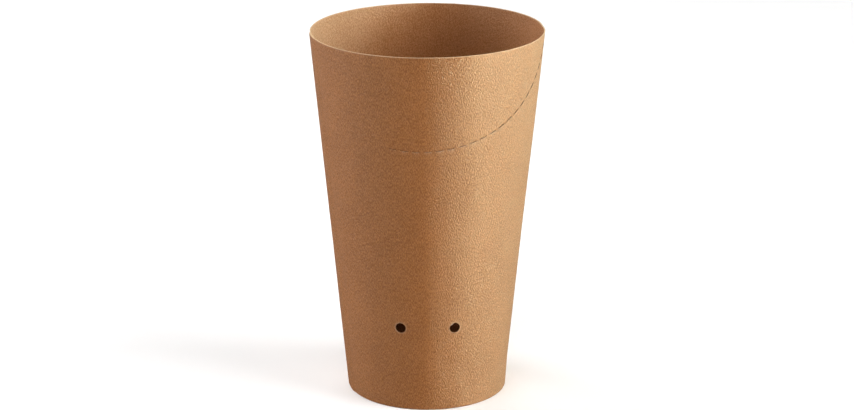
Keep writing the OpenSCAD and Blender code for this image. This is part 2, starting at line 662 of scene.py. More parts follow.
    def weave(self, loops: list[tuple[Array, Array]], free_points: Array) -> None:
        """Joins the points with triangles, and drops those outside the board.

        Args:
            loops: Points of each cut edge in order, with the number of the edge of each point.
            free_points: Points inside the board.
        """
        points = [p for p, _ in loops] + [free_points]
        marks = np.concatenate([m for _, m in loops] + [np.zeros(len(free_points), int)])
        edges = []
        start = 0
        for loop, _ in loops:
            count = len(loop)
            edges += [(start + i, start + (i + 1) % count) for i in range(count)]
            start += count
        flat = np.concatenate(points)
        origin = flat.mean(0)
        made = geometry.delaunay_2d_cdt([Vector(p) for p in flat - origin], edges, [], 0, TINY, True)
        self.points = np.array([(v.x, v.y) for v in made[0]]) + origin
        self.marks = np.array([marks[ids[0]] if ids else 0 for ids in made[3]])
        faces = np.array(made[2])
        turn, s = self.form.rolled(self.points[faces].mean(1))
        free = self.form.edge_turn(s, -1)
        under = self.form.edge_turn(s, 1) + 2 * math.pi
        end = np.where(s < self.lap_stop, under, free + 2 * math.pi)
        keep = (s < self.path_end) & (turn > free) & (turn < end)
        first, second, third = self.marks[faces].T
        keep &= ~((first == second) & (second == third) & (first > Edge.RIM.value))
        self.faces = faces[keep]


@dataclass
class Net:
    """A mesh in the making: points in millimetres, faces, and what each face and point carries."""

    points: Array
    faces: list[tuple[int, ...]]
    sides: Array
    uv: Array
    wear_and_light: Array

    def make(self, name: str, finishes: list[bpy.types.Material]) -> bpy.types.Object:
        """Turns the net into an object of the scene.

        Args:
            name: Name of the object.
            finishes: Materials in the order of the numbers in sides.

        Returns:
            The new object.
        """
        mesh = bpy.data.meshes.new(name)
        mesh.from_pydata((self.points * MM).tolist(), [], self.faces)
        for finish in finishes:
            mesh.materials.append(finish)
        mesh.polygons.foreach_set("material_index", self.sides.astype(np.int32))
        mesh.polygons.foreach_set("use_smooth", np.ones(len(self.faces), bool))
        corners = np.zeros(len(mesh.loops), np.int32)
        mesh.loops.foreach_get("vertex_index", corners)
        layer = mesh.uv_layers.new(name=BOARD_UV)
        layer.data.foreach_set("uv", (self.uv[corners] * MM).astype(np.float32).ravel())
        # This point attribute carries the painted marks: fraying, painted highlight and painted shade.
        wear_and_light = mesh.attributes.new("wear_and_light", "FLOAT", "POINT")
        wear_and_light.data.foreach_set("value", self.wear_and_light.astype(np.float32))
        mesh.update()
        mesh.set_sharp_from_angle(angle=math.radians(50))
        piece = bpy.data.objects.new(name, mesh)
        bpy.context.scene.collection.objects.link(piece)
        return piece


@dataclass
class SideSheet:
    """The side sheet: rolled, lapped at the seam, and folded in and up round the base."""

    form: CupForm
    feel: HandFeel
    tear: TearLine
    vents: VentHoles
    inner_bend_r: float = 0.05
    lap_gap: float = 0.005
    flap_lap: float = 0.12
    rib_count: int = 96
    rib_depth: float = 0.07
    rim_fray: float = 0.03
    rim_fray_h: float = 0.15
    flap_fray: float = 0.12
    flap_fray_h: float = 0.4
    fray_l: float = 0.6
    cut_fray: float = 0.03
    cut_fray_l: float = 0.35
    rim_wear: float = 0.5
    rim_wear_h: float = 0.15
    flap_wear: float = 0.8
    flap_wear_h: float = 0.3
    inside_uv: float = 200.0

    def path(self, lift: float, inner_depth: float, flap_lift: float) -> tuple[Array, Array]:
        """Lays out the sections of the sheet's two faces, corner by corner.

        Args:
            lift: How far the outside stands proud of the plain wall.
            inner_depth: Depth of the inside of the sheet below the plain outside.
            flap_lift: How far the folded edge stands proud towards the middle of the cup.

        Returns:
            Points (radius, height) of the outside and of the inside.
        """
        form = self.form
        t = form.sheet_t
        faces = []
        for depth, rise, heel_depth, radius in (
            (-lift, 0.0, form.fold_w + flap_lift, form.fold_r),
            (inner_depth, t, form.fold_w - t + flap_lift, self.inner_bend_r),
        ):
            rim = form.layer_point(form.height, depth)
            toe = form.layer_point(rise, depth)
            heel = form.layer_point(rise, heel_depth)
            top = form.layer_point(form.flap_h, heel_depth)
            faces.append(np.vstack([rim, bend(rim, toe, heel, radius), bend(toe, heel, top, radius), top]))
        return faces[0], faces[1]

    def lap_share(self, turn: Array, s: Array) -> Array:
        """Finds how far points belong to the outer layer of the lap.

        Args:
            turn: Turns in radians.
            s: Sheet coordinates.

        Returns:
            Shares from 0 to 1.
        """
        form = self.form
        z = np.clip(form.height - s * math.cos(form.lean), 0.0, form.height)
        from_seam = turn - math.radians(form.seam_turn)
        across = form.layer_r(z, 0.0) * np.sin(np.clip(from_seam, -math.pi / 2, math.pi / 2))
        share = 1.0 - smooth_step((across - form.lap_w / 2) / form.lap_blend_w)
        return np.where(from_seam < math.pi / 2, share, 0.0)

    def relief(self, turn: Array, s: Array, flat: Array, path_s: Array) -> tuple[Array, Array]:
        """Finds the small forms of the sheet: knife marks, burrs, and the ribs of the folded edge.

        Args:
            turn: Turns in radians.
            s: Sheet coordinates.
            flat: The same points on the flat sheet.
            path_s: Sheet coordinates of the corners of the sheet's path.

        Returns:
            Heights above the plain board, and the paint mark of each point: above 0 where it is paler, for
            fraying and, beside the cuts and holes, also painted highlight; below 0 where it has painted
            shade.
        """
        cut_height, cut_wear_and_light = self.tear.relief(flat)
        hole_height, hole_wear_and_light = self.vents.relief(flat)
        flap = smooth_step((s - path_s[-2]) / 0.7) * smooth_step((path_s[-1] - s) / 0.5)
        ribs = -self.rib_depth * flap * (0.5 - 0.5 * np.cos(self.rib_count * turn))
        to_end = path_s[-1] - s
        # Marks beside the knife cuts and holes are partly painted highlight and painted shade; the rim and
        # flap bands are fraying.
        wear_and_light = np.maximum(cut_wear_and_light + hole_wear_and_light, self.rim_wear * np.exp(-s / self.rim_wear_h))
        wear_and_light = np.where(to_end < 1.5, self.flap_wear * np.exp(-to_end / self.flap_wear_h), wear_and_light)
        return cut_height + hole_height + ribs, wear_and_light

    def build(self, finishes: list[bpy.types.Material]) -> bpy.types.Object:
        """Builds the sheet as one closed mesh with the thickness of the board.

        Args:
            finishes: Materials in the order of Side.

        Returns:
            The object, which stands for the node side_wall.
        """
        form = self.form
        plain = self.path(0.0, form.sheet_t, 0.0)
        lapped = self.path(form.lap_step, -self.lap_gap, self.flap_lap)
        steps = np.hypot(*np.diff(plain[0], axis=0).T)
        path_s = np.concatenate([[0.0], np.cumsum(steps)])
        blank = FlatBlank(form, self.tear, self.vents)
        blank.cut(path_s)
        turn, s = form.rolled(blank.points)
        height, wear_and_light = self.relief(turn, s, blank.points, path_s)
        share = self.lap_share(turn, s)
        fray_at = np.stack([np.cos(turn), np.sin(turn), s / form.rim_r], -1) * form.rim_r / self.fray_l
        at_rim = self.rim_fray * np.exp(-s / self.rim_fray_h)
        at_end = self.flap_fray * np.exp(-np.abs(path_s[-1] - s) / self.flap_fray_h)
        fray = smooth_noise(fray_at, 2.3) * (at_rim + at_end)
        layers = []
        for face in (0, 1):
            on_plain = [np.interp(s, path_s, part) for part in plain[face].T]
            on_lapped = [np.interp(s, path_s, part) for part in lapped[face].T]
            r, z = ((1 - share) * a + share * b for a, b in zip(on_plain, on_lapped))
            dr, dz = self.feel.shift(turn, z, form)
            folded = smooth_step((s - path_s[1]) / (path_s[-2] - path_s[1]))
            r += dr + height * math.cos(form.lean) * (1 - 2 * folded)
            z += dz - height * math.sin(form.lean) * (1 - folded) + fray
            layers.append(on_circle(r, turn, z))
        return self.close(layers, blank, wear_and_light, finishes)

    def close(
        self, layers: list[Array], blank: FlatBlank, wear_and_light: Array, finishes: list[bpy.types.Material]
    ) -> bpy.types.Object:
        """Joins the two faces of the sheet along all its cut edges.

        Args:
            layers: Points of the outside and of the inside.
            blank: The net of the flat sheet.
            wear_and_light: The paint mark of each point of the blank: fraying, painted highlight and
                painted shade.
            finishes: Materials in the order of Side.

        Returns:
            The object.
        """
        outer, inner = layers
        faces = blank.faces[:, ::-1]
        count = len(outer)
        directed = np.concatenate([faces[:, [0, 1]], faces[:, [1, 2]], faces[:, [2, 0]]])
        keys = directed[:, 0].astype(np.int64) * count + directed[:, 1]
        back = directed[:, 1].astype(np.int64) * count + directed[:, 0]
        border = directed[~np.isin(keys, back)]
        rim_points = np.unique(border)
        middle_at = np.full(count, -1)
        middle_at[rim_points] = 2 * count + np.arange(len(rim_points))
        middle = (outer[rim_points] + inner[rim_points]) / 2
        grain = middle / self.cut_fray_l
        for axis, seed in enumerate((1.7, 5.1, 8.9)):
            middle[:, axis] += self.cut_fray * smooth_noise(grain, seed)
        a, b = border.T
        strip_out = np.stack([b, a, middle_at[a], middle_at[b]], -1)
        strip_in = np.stack([middle_at[b], middle_at[a], a + count, b + count], -1)
        all_faces = faces.tolist() + (faces[:, ::-1] + count).tolist()
        all_faces += strip_out.tolist() + strip_in.tolist()
        outside = np.full(len(faces), Side.OUTSIDE.value)
        inside = np.full(len(faces), Side.INSIDE.value)
        # Walls of the vent holes and knife cuts take the near-black painted-shade finish; the rim, lap and
        # folded edges take the pale cut-edge finish.
        edge = np.where(blank.marks[a] >= Edge.VENT.value, Side.SHADED_CUT_WALL.value, Side.CUT.value)
        sides = np.concatenate([outside, inside, edge, edge])
        flat = blank.points
        uv = np.concatenate([flat, flat + self.inside_uv, flat[rim_points]])
        all_wear = np.concatenate([wear_and_light, wear_and_light, np.ones(len(rim_points))])
        net = Net(np.concatenate([outer, inner, middle]), all_faces, sides, uv, all_wear)
        piece = net.make("side_sheet", finishes)
        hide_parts("side_wall")
        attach(piece, "root")
        return piece


@dataclass
class PressedBase:
    """The base: a floor with a drawn corner and a skirt that is held in the fold."""

    form: CupForm
    feel: HandFeel
    segments: int = 288
    ring_step: float = 1.1
    sag: float = 0.3
    swell: float = 0.12
    swell_l: float = 14.0
    edge_w: float = 2.0
    pleats: int = 84
    pleat_depth: float = 0.05
    middle_r: float = 0.05
    bend_steps: int = 8
    under_uv: float = 90.0

    def section(self) -> Array:
        """Lays out half the section, from the middle above to the middle below.

        Returns:
            Points (radius, height), one a row.
        """
        form = self.form
        skirt_depth = form.sheet_t + form.glue_t
        skirt_in = skirt_depth + form.base_t
        floor_z = form.recess_h + form.base_t
        top_mid = np.array([self.middle_r, floor_z])
        top_corner = form.layer_point(floor_z, skirt_depth)
        toe = form.layer_point(skirt_depth, skirt_depth)
        heel = form.layer_point(skirt_depth, skirt_in)
        corner = form.layer_point(form.recess_h, skirt_in)
        under_mid = np.array([self.middle_r, form.recess_h])
        outer_bend = bend(top_mid, top_corner, toe, form.base_bend_r, self.bend_steps)
        inner_bend = bend(heel, corner, under_mid, form.base_bend_in, self.bend_steps)
        corners = np.vstack([top_mid, outer_bend, toe, heel, inner_bend, under_mid])
        points = [corners[:1]]
        for start, end in zip(corners[:-1], corners[1:]):
            count = max(1, math.ceil(np.linalg.norm(end - start) / self.ring_step))
            points.append(start + (end - start) * np.arange(1, count + 1)[:, None] / count)
        return np.concatenate(points)

    def build(self, finish: bpy.types.Material) -> bpy.types.Object:
        """Builds the base.

        Args:
            finish: Material of the board.

        Returns:
            The object, which stands for the node base.
        """
        section = self.section()
        rings = len(section)
        turn = np.arange(self.segments) * 2 * math.pi / self.segments
        r = np.repeat(section[:, 0], self.segments)
        z = np.repeat(section[:, 1], self.segments)
        turns = np.tile(turn, rings)
        floor_r = self.form.foot_r - self.edge_w
        on_floor = smooth_step((floor_r - r) / 4.0)
        corner = np.exp(-(((r - floor_r - 0.6) / 0.9) ** 2)) * (z > self.form.recess_h - 0.5)
        wander = smooth_noise(np.stack([np.cos(turns), np.sin(turns), r * 0], -1) * 3.0, 9.4)
        fold = self.pleat_depth * corner * np.cos(self.pleats * turns + 4 * wander)
        swell_at = np.stack([r * np.sin(turns), r * np.cos(turns), r * 0], -1) / self.swell_l
        swell = self.swell * smooth_noise(swell_at, 3.1)
        dr, dz = self.feel.shift(turns, z, self.form)
        z = z + dz - fold + on_floor * (swell - self.sag * (1 - (r / floor_r) ** 2))
        r = r + dr * np.clip(r / floor_r, 0.0, 1.0)
        points = on_circle(r, turns, z)
        faces: list[tuple[int, ...]] = []
        for ring in range(rings - 1):
            for i in range(self.segments):
                j = (i + 1) % self.segments
                low = ring * self.segments
                high = low + self.segments
                faces.append((low + j, low + i, high + i, high + j))
        faces.append(tuple(range(self.segments)))
        faces.append(tuple(range((rings - 1) * self.segments, rings * self.segments))[::-1])
        shift = np.where(np.arange(rings) < rings // 2, 0.0, self.under_uv).repeat(self.segments)
        uv = points[:, :2] + shift[:, None]
        net = Net(points, faces, np.zeros(len(faces)), uv, np.zeros(len(points)))
        piece = net.make("pressed_base", [finish])
        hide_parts("base")
        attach(piece, "root")
        return piece


class NodeBench:
    """Lays out the nodes of one material, and joins them."""

    def __init__(self, name: str) -> None:
        """Starts a new material with a plain shader."""
        self.material = bpy.data.materials.new(name)
        self.material.use_nodes = True
        self.tree = self.material.node_tree
        self.shader = self.tree.nodes["Principled BSDF"]

    def put(self, kind: str, **settings: object) -> bpy.types.Node:
        """Adds a node.

        Args:
            kind: Type of the node.
            settings: Properties that the node gets.

        Returns:
            The new node.
        """
        node = self.tree.nodes.new(kind)
        for key, value in settings.items():
            setattr(node, key, value)
        return node

    def feed(self, socket: bpy.types.NodeSocket, value: object) -> None:
        """Joins an output to a socket, or sets the socket to a plain value.

        Args:
            socket: The input.
            value: An output or a value.
        """
        if isinstance(value, bpy.types.NodeSocket):
            self.tree.links.new(value, socket)
        else:
            socket.default_value = value

    def maths(self, kind: str, a: object, b: object = 0.0, c: object = 0.0) -> bpy.types.NodeSocket:
        """Calculates with outputs or numbers.

        Args:
            kind: The calculation.
            a: The first term.
            b: The second term.
            c: The third term.

        Returns:
            The output.
        """
        node = self.put("ShaderNodeMath", operation=kind)
        for socket, value in zip(node.inputs, (a, b, c)):
            self.feed(socket, value)
        return node.outputs[0]

    def spread(
        self, value: object, low: float, high: float, to_low: float, to_high: float
    ) -> bpy.types.NodeSocket:
        """Carries a value from one range over to another, and keeps it within that.

        Args:
            value: The value.
            low: Start of the first range.
            high: End of the first range.
            to_low: Start of the second range.
            to_high: End of the second range.

        Returns:
            The output.
        """
        node = self.put("ShaderNodeMapRange")
        for socket, number in zip(node.inputs, (value, low, high, to_low, to_high)):
            self.feed(socket, number)
        return node.outputs[0]

    def scaled(
        self, vector: object, size: tuple[float, float, float], turn: float = 0.0
    ) -> bpy.types.NodeSocket:
        """Scales a place so that a grain of the given size gets the length one.

        Args:
            vector: The place, in metres.
            size: Size of the grain along the three axes, in millimetres.
            turn: Turn of the grain in its plane, in degrees.

        Returns:
            The scaled place.
        """
        turned = self.put("ShaderNodeMapping")
        self.feed(turned.inputs["Vector"], vector)
        turned.inputs["Rotation"].default_value = (0.0, 0.0, math.radians(turn))
        node = self.put("ShaderNodeMapping")
        self.feed(node.inputs["Vector"], turned.outputs[0])
        node.inputs["Scale"].default_value = tuple(1.0 / (MM * part) for part in size)
        return node.outputs[0]

    def noise(
        self, vector: object, detail: float = 2.0, rough: float = 0.5, warp: float = 0.0
    ) -> bpy.types.NodeSocket:
        """Makes noise with grains of the length one of the vector.

        Args:
            vector: The scaled place.
            detail: How many finer layers it has.
            rough: How strong the finer layers are.
            warp: How far it is twisted.

        Returns:
            The output.
        """
        node = self.put("ShaderNodeTexNoise")
        self.feed(node.inputs["Vector"], vector)
        node.inputs["Scale"].default_value = 1.0
        node.inputs["Detail"].default_value = detail
        node.inputs["Roughness"].default_value = rough
        node.inputs["Distortion"].default_value = warp
        return node.outputs[0]

    def blend(self, share: object, a: object, b: object) -> bpy.types.NodeSocket:
        """Mixes two colours.

        Args:
            share: Share of the second colour.
            a: The first colour.
            b: The second colour.

        Returns:
            The output.
        """
        node = self.put("ShaderNodeMix", data_type="RGBA")
        self.feed(node.inputs[0], share)
        for socket, value in ((node.inputs[6], a), (node.inputs[7], b)):
            self.feed(socket, (*value, 1.0) if isinstance(value, tuple) else value)
        return node.outputs[2]

    def bump(self, height: object, strength: float, depth: float) -> None:
        """Gives the shader a relief.

        Args:
            height: Output that the relief follows.
            strength: Strength from 0 to 1.
            depth: Depth in millimetres.
        """
        node = self.put("ShaderNodeBump")
        node.inputs["Strength"].default_value = strength
        node.inputs["Distance"].default_value = depth * MM
        self.feed(node.inputs["Height"], height)
        self.tree.links.new(node.outputs["Normal"], self.shader.inputs["Normal"])


@dataclass(frozen=True)
class Grain:
    """One layer of the grain in the board: its size in millimetres, and how it colours and lifts it."""

    width: float
    length: float
    lean: float = 0.0
    detail: float = 2.0
    rough: float = 0.5
    warp: float = 0.0
    tone: float = 0.0
    lift: float = 0.0

    def noise(self, bench: NodeBench, place: object, turn: float) -> bpy.types.NodeSocket:
        """Returns the noise of the layer at the place, turned with the board by turn degrees."""
        scaled = bench.scaled(place, (self.width, self.length, 1.0), turn + self.lean)
        return bench.noise(scaled, self.detail, self.rough, self.warp)


@dataclass(frozen=True)
class KraftFinish:
    """Unbleached kraft board: compacted brown fibres, mottled, with a faint grain up the wall."""

    name: str
    light: Color = (0.45, 0.169, 0.045)
    dark: Color = (0.25, 0.074, 0.011)
    pale_fibre: Color = (0.55, 0.31, 0.13)
    # Pale colour of loose fibres, also painted as highlight beside the knife cuts and vent holes.
    frayed_and_highlight: Color = (0.84, 0.6, 0.38)
    # Dark colour of bark specks, also painted as shade on the upper lips of the knife cuts.
    speck_and_shade: Color = (0.16, 0.07, 0.028)
    roughness: float = 0.43
    gloss: float = 0.85
    gleam: Color = (1.0, 0.98, 0.8)
    relief_mm: float = 0.2
    grain_turn: float = 0.0
    cloud: Grain = Grain(11.0, 16.0, detail=3.0, rough=0.55, tone=0.8)
    mottle: Grain = Grain(1.3, 1.95, detail=4.0, rough=0.62, tone=1.3, lift=0.5)
    streak: Grain = Grain(0.42, 2.6, detail=3.0, rough=0.55, warp=0.4, tone=0.7, lift=0.3)
    thread: Grain = Grain(0.24, 0.85, lean=3.0, detail=1.5, warp=0.3, tone=5.8, lift=2.0)
    hair: Grain = Grain(0.1, 0.85, lean=31.0, warp=0.9, tone=0.9, lift=0.3)
    cross: Grain = Grain(0.11, 0.75, lean=-38.0, warp=0.9, tone=0.85, lift=0.3)
    grit: Grain = Grain(0.2, 0.24, rough=0.6, tone=3.8, lift=1.5)

    def build(self) -> bpy.types.Material:
        """Lays out the material.

        Returns:
            The material.
        """
        bench = NodeBench(self.name)
        place = bench.put("ShaderNodeUVMap", uv_map=BOARD_UV).outputs[0]
        turned = (self.cloud, self.mottle, self.streak, self.thread, self.hair, self.cross)
        layers = [grain.noise(bench, place, self.grain_turn) for grain in turned]
        layers.append(self.grit.noise(bench, place, 0.0))
        hair, cross, grit = layers[-3:]
        tone = 0.5
        height = 0.0
        for grain, layer in zip((*turned, self.grit), layers):
            centred = bench.maths("SUBTRACT", layer, 0.5)
            tone = bench.maths("MULTIPLY_ADD", centred, grain.tone, tone)
            height = bench.maths("MULTIPLY_ADD", layer, grain.lift, height)
        share = bench.spread(tone, -0.3, 1.3, -0.3, 1.3)
        color = bench.blend(share, self.dark, self.light)
        pale = bench.spread(bench.maths("MAXIMUM", hair, cross), 0.66, 0.78, 0.0, 0.4)
        color = bench.blend(pale, color, self.pale_fibre)
        color = bench.blend(self.specks(bench, place), color, self.speck_and_shade)
        bench.feed(bench.shader.inputs["Base Color"], self.worn_and_lit(bench, color, grit))
        rough = bench.spread(share, 0.2, 0.8, self.roughness + 0.06, self.roughness - 0.05)
        bench.feed(bench.shader.inputs["Roughness"], rough)
        bench.shader.inputs["Specular IOR Level"].default_value = self.gloss
        bench.shader.inputs["Specular Tint"].default_value = (*self.gleam, 1.0)
        bench.bump(height, 1.0, self.relief_mm)
        return bench.material

    def specks(self, bench: NodeBench, place: object) -> bpy.types.NodeSocket:
        """Scatters a few small dark specks.

        Args:
            bench: Where the nodes go.
            place: The place on the board.

        Returns:
            How dark the place is, from 0 to 1.
        """
        cells = bench.put("ShaderNodeTexVoronoi", feature="F1", distance="EUCLIDEAN")
        bench.feed(cells.inputs["Vector"], bench.scaled(place, (2.6, 4.2, 1.0), self.grain_turn))
        cells.inputs["Scale"].default_value = 1.0
        chance = bench.put("ShaderNodeSeparateColor")
        bench.feed(chance.inputs[0], cells.outputs["Color"])
        small = bench.spread(cells.outputs["Distance"], 0.03, 0.085, 1.0, 0.0)
        rare = bench.spread(chance.outputs[0], 0.8, 0.86, 0.0, 0.75)
        return bench.maths("MULTIPLY", small, rare)

    def worn_and_lit(self, bench: NodeBench, color: object, grit: object) -> bpy.types.NodeSocket:
        """Paints the marks of the mesh into the colour: paler for fraying and painted highlight, darker
        for painted shade.

        Args:
            bench: Where the nodes go.
            color: The colour of the plain board.
            grit: The finest layer of the grain.

        Returns:
            The colour with its painted marks.
        """
        wear_and_light = bench.put("ShaderNodeAttribute", attribute_name="wear_and_light").outputs["Fac"]
        tufts = bench.spread(grit, 0.3, 0.6, 0.35, 0.95)
        # Above 0 the colour goes paler, partly fraying and partly painted highlight; below 0 it goes dark
        # as painted shade.
        frayed_and_highlight = bench.maths("MULTIPLY", bench.maths("MAXIMUM", wear_and_light, 0.0), tufts)
        painted_shade = bench.maths("MULTIPLY", bench.maths("MINIMUM", wear_and_light, 0.0), -0.75)
        return bench.blend(painted_shade, bench.blend(frayed_and_highlight, color, self.frayed_and_highlight), self.speck_and_shade)


@dataclass(frozen=True)
class CutEdgeFinish:
    """A cut edge of the board, with open fibres."""

    name: str = "kraft_cut_edge"
    light: Color = (0.8, 0.57, 0.35)
    dark: Color = (0.46, 0.28, 0.15)
    gloss: float = 0.3

    def build(self) -> bpy.types.Material:
        """Lays out the material.

        Returns:
            The material.
        """
        bench = NodeBench(self.name)
        place = bench.put("ShaderNodeTexCoord").outputs["Object"]
        tuft = bench.noise(bench.scaled(place, (0.3, 0.3, 0.12)), 3.0, 0.6)
        fine = bench.noise(bench.scaled(place, (0.08, 0.08, 0.05)), 2.0, 0.6)
        share = bench.spread(bench.maths("ADD", tuft, fine), 0.7, 1.3, 0.0, 1.0)
        bench.feed(bench.shader.inputs["Base Color"], bench.blend(share, self.dark, self.light))
        bench.shader.inputs["Roughness"].default_value = 0.9
        bench.shader.inputs["Specular IOR Level"].default_value = self.gloss
        bench.bump(bench.maths("ADD", tuft, fine), 0.6, 0.05)
        return bench.material


@dataclass(frozen=True)
class FleckFinish:
    """Bits of bark and bundles of fibres in the board."""

    name: str
    light: Color
    dark: Color

    def build(self) -> bpy.types.Material:
        """Lays out the material.

        Returns:
            The material.
        """
        bench = NodeBench(self.name)
        place = bench.put("ShaderNodeTexCoord").outputs["Object"]
        grain = bench.noise(bench.scaled(place, (0.12, 0.12, 0.4)), 3.0, 0.6)
        share = bench.spread(grain, 0.3, 0.7, 0.0, 1.0)
        bench.feed(bench.shader.inputs["Base Color"], bench.blend(share, self.dark, self.light))
        bench.feed(bench.shader.inputs["Roughness"], bench.spread(grain, 0.3, 0.7, 0.75, 0.9))
        bench.shader.inputs["Specular IOR Level"].default_value = 0.3
        bench.bump(grain, 0.4, 0.03)
        return bench.material


@dataclass(frozen=True)
class FloorFinish:
    """A smooth pale floor under the cup."""

    name: str = "pale_floor"
    color: Color = (0.92, 0.92, 0.92)
    glow: float = 0.07

    def build(self) -> bpy.types.Material:
        """Lays out the material.

        Returns:
            The material.
        """
        bench = NodeBench(self.name)
        bench.shader.inputs["Base Color"].default_value = (*self.color, 1.0)
        bench.shader.inputs["Emission Color"].default_value = (1.0, 1.0, 1.0, 1.0)
        bench.shader.inputs["Emission Strength"].default_value = self.glow
        bench.shader.inputs["Roughness"].default_value = 0.9
        bench.shader.inputs["Specular IOR Level"].default_value = 0.0
        return bench.material


@dataclass(frozen=True)
class Fleck:
    """One bit of bark on the outside of the wall, with its sizes and lean from upright."""

    turn: float
    z: float
    length: float
    width: float
    lean: float


@dataclass(frozen=True)
class HangingChad:
    """A shred of punched board that still hangs inside the edge of the right vent hole."""

    form: CupForm
    feel: HandFeel
    vents: VentHoles
    start: float = 92.0
    end: float = 156.0
    reach: float = 0.8
    root: float = 0.06
    depth: float = 0.1
    sink: float = 0.5
    thickness: float = 0.16
    steps: int = 14
    rows: int = 4

    def build(self, finish: bpy.types.Material) -> bpy.types.Object:
        """Builds the shred as a small bent leaf.

        Args:
            finish: Material of the board.

        Returns:
            The object.
        """
        steps = self.steps
        rows = self.rows
        centre = self.vents.centres()[1]
        radius = self.vents.diameter / 2
        outer: list[Array] = []
        inner: list[Array] = []
        for row in range(rows + 1):
            inward = row / rows
            for i in range(steps + 1):
                along = i / steps
                a = math.radians(self.start + (self.end - self.start) * along)
                swell = math.sin(math.pi * along) ** 0.7
                r = radius + self.root - (self.reach + self.root) * inward * swell
                flat = centre + r * np.array([math.cos(a), -math.sin(a)])
                turn, s = self.form.rolled(flat[None])
                z = self.form.height - s * math.cos(self.form.lean)
                dr, dz = self.feel.shift(turn, z, self.form)
                depth = self.depth + self.sink * inward**1.5
                for layer, extra in ((outer, 0.0), (inner, self.thickness)):
                    layer_r = self.form.layer_r(z, depth + extra) + dr
                    layer.append(on_circle(layer_r, turn, z + dz)[0])
        wide = steps + 1
        count = len(outer)
        faces: list[tuple[int, ...]] = []
        for row in range(rows):
            for i in range(steps):
                a = row * wide + i
                faces.append((a, a + 1, a + wide + 1, a + wide))
                faces.append((count + a, count + a + wide, count + a + wide + 1, count + a + 1))
        rim = list(range(wide))
        rim += [row * wide + steps for row in range(1, rows + 1)]
        rim += [rows * wide + i for i in range(steps - 1, -1, -1)]
        rim += [row * wide for row in range(rows - 1, 0, -1)]
        for a, b in zip(rim, rim[1:] + rim[:1]):
            faces.append((b, a, count + a, count + b))
        points = np.array(outer + inner)
        net = Net(points, faces, np.zeros(len(faces)), points[:, [0, 2]], np.zeros(len(points)))
        piece = net.make("vent_shred", [finish])
        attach(piece, "root")
        return piece


@dataclass
class BarkFlecks:
    """Thin dark slivers that lie in the surface of the wall, some as the photograph shows them."""

    form: CupForm
    feel: HandFeel
    seed: int = 11
    loose: int = 46
    proud: float = 0.012
    sunk: float = 0.01
    corners: int = 10
    seen: tuple[Fleck, ...] = (
        Fleck(7.0, 27.2, 1.7, 0.4, 12.0),
        Fleck(5.3, 22.9, 0.8, 0.42, 20.0),
        Fleck(-32.2, 10.1, 0.7, 0.62, 0.0),
        Fleck(5.0, 108.3, 0.7, 0.36, -70.0),
        Fleck(17.3, 40.0, 0.6, 0.22, 20.0),
        Fleck(33.5, 27.0, 0.6, 0.24, -10.0),
        Fleck(15.5, 118.5, 0.6, 0.24, 30.0),
    )

    def scattered(self) -> list[Fleck]:
        """Adds small flecks all round to those of the photograph.

        Returns:
            All the flecks.
        """
        chance = random.Random(self.seed)
        flecks = list(self.seen)
        for _ in range(self.loose):
            turn = chance.uniform(-180.0, 180.0)
            length = chance.uniform(0.25, 0.7)
            width = length * chance.uniform(0.25, 0.5)
            z = chance.uniform(8.0, 126.0)
            flecks.append(Fleck(turn, z, length, width, chance.uniform(-40.0, 40.0)))
        return flecks

    def build(self, finish: bpy.types.Material) -> bpy.types.Object:
        """Builds the slivers as one object.

        Args:
            finish: Material of the bark.

        Returns:
            The object.
        """
        points: list[Array] = []
        faces: list[tuple[int, ...]] = []
        count = self.corners
        for fleck in self.scattered():
            turn = math.radians(fleck.turn)
            z = np.array([fleck.z])
            dr, dz = self.feel.shift(np.array([turn]), z, self.form)
            r = float(self.form.layer_r(fleck.z, 0.0) + dr[0])
            out = on_circle(math.cos(self.form.lean), turn, -math.sin(self.form.lean))
            across = np.array([math.cos(turn), math.sin(turn), 0.0])
            up = np.cross(across, -out)
            middle = on_circle(r, turn, fleck.z + dz[0])
            lean = math.radians(fleck.lean)
            along = up * math.cos(lean) + across * math.sin(lean)
            side = across * math.cos(lean) - up * math.sin(lean)
            start = sum(len(p) for p in points)
            ring = []
            for i in range(count):
                a = i * 2 * math.pi / count
                wobble = 1.0 + 0.25 * math.sin(3 * a + fleck.turn)
                u = fleck.length / 2 * math.cos(a)
                v = fleck.width / 2 * math.sin(a) * wobble
                sink = (u**2 * side[2] ** 2 + v**2) / (2 * r)
                ring.append(middle + along * u + side * v - out * (self.sunk + sink))
            points.append(np.array(ring + [middle + out * self.proud]))
            faces += [(start + i, start + (i + 1) % count, start + count) for i in range(count)]
            faces.append(tuple(start + i for i in range(count))[::-1])
        flat = np.concatenate(points)
        net = Net(flat, faces, np.zeros(len(faces)), flat[:, :2], np.zeros(len(flat)))
        piece = net.make("bark_flecks", [finish])
        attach(piece, "root")
        return piece


